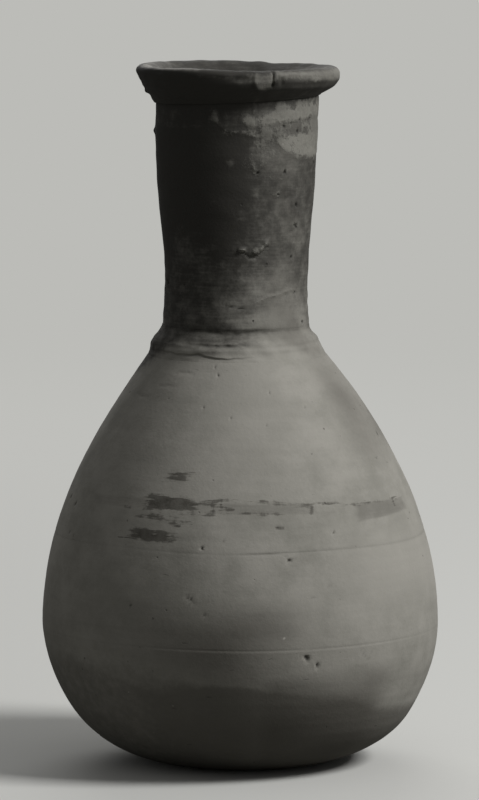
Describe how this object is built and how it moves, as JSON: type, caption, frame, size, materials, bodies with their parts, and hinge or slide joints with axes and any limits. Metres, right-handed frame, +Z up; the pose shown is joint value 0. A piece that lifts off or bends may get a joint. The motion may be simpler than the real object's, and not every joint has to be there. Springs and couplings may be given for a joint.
{
  "type": "unguentarium",
  "caption": "Small pear-shaped earthenware bottle with a tall cylindrical neck, a thickened everted rim and a flat base, for scented oil or ointment.",
  "frame": {"origin": "centre of the flat base, on the surface that the bottle stands on", "axes": "+Z up along the bottle's axis towards the mouth; +X to the right and +Y away from the viewer in the picture"},
  "size_m": [0.0684, 0.0684, 0.12],
  "materials": {
    "body_clay": "matt unglazed earthenware, smoothed on the wheel",
    "neck_slip": "matt unglazed earthenware with a dark worn slip",
    "rim_slip": "matt unglazed earthenware with a dark worn slip"
  },
  "bodies": {
    "root": {"lower_body": "body_clay", "upper_body": "body_clay", "luting_coil": "body_clay", "neck": "neck_slip", "rim": "rim_slip"}
  },
  "joints": []
}
